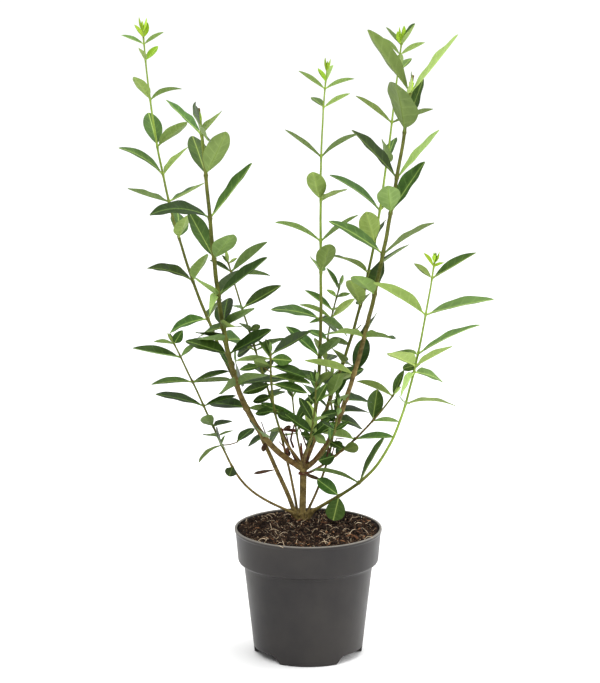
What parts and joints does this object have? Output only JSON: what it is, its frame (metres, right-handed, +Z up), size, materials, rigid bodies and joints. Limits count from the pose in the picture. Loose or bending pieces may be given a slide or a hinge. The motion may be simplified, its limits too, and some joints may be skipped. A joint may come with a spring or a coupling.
{
  "type": "potted atrovirens privet",
  "caption": "Young evergreen privet shrub with long arching shoots of paired dark green leaves on a short trunk, growing in a round dark grey nursery pot filled with peat.",
  "frame": {"origin": "centre of the pot's flat underside, level with what it stands on", "axes": "+Z up the plant, +X to its right seen from the front, -Y towards the viewer"},
  "size_m": [0.3777, 0.2676, 0.6487],
  "materials": {
    "pot_plastic": "satin moulded dark grey plastic",
    "peat": "loose fibrous brown peat",
    "bark": "smooth olive-brown bark",
    "shoot_bark": "smooth olive-green young bark",
    "foliage": "glossy evergreen leaves with paler undersides"
  },
  "bodies": {
    "root": {"pot": "pot_plastic", "soil": "peat", "trunk": "bark", "stem_left_main": "shoot_bark", "leaves_left_main": "foliage", "stem_left_tall": "shoot_bark", "leaves_left_tall": "foliage", "stem_left_inner": "shoot_bark", "leaves_left_inner": "foliage", "stem_left_low": "shoot_bark", "leaves_left_low": "foliage", "stem_centre_left": "shoot_bark", "leaves_centre_left": "foliage", "stem_centre_front": "shoot_bark", "leaves_centre_front": "foliage", "stem_centre_tall": "shoot_bark", "leaves_centre_tall": "foliage", "stem_right_back": "shoot_bark", "leaves_right_back": "foliage", "stem_right_front": "shoot_bark", "leaves_right_front": "foliage", "stem_right_green": "shoot_bark", "leaves_right_green": "foliage", "stem_right_low": "shoot_bark", "leaves_right_low": "foliage", "stem_centre_back": "shoot_bark", "leaves_centre_back": "foliage", "stem_front_low": "shoot_bark", "leaves_front_low": "foliage", "stem_front_right": "shoot_bark", "leaves_front_right": "foliage", "stem_back_mid": "shoot_bark", "leaves_back_mid": "foliage", "stem_back_right": "shoot_bark", "leaves_back_right": "foliage"}
  },
  "joints": []
}
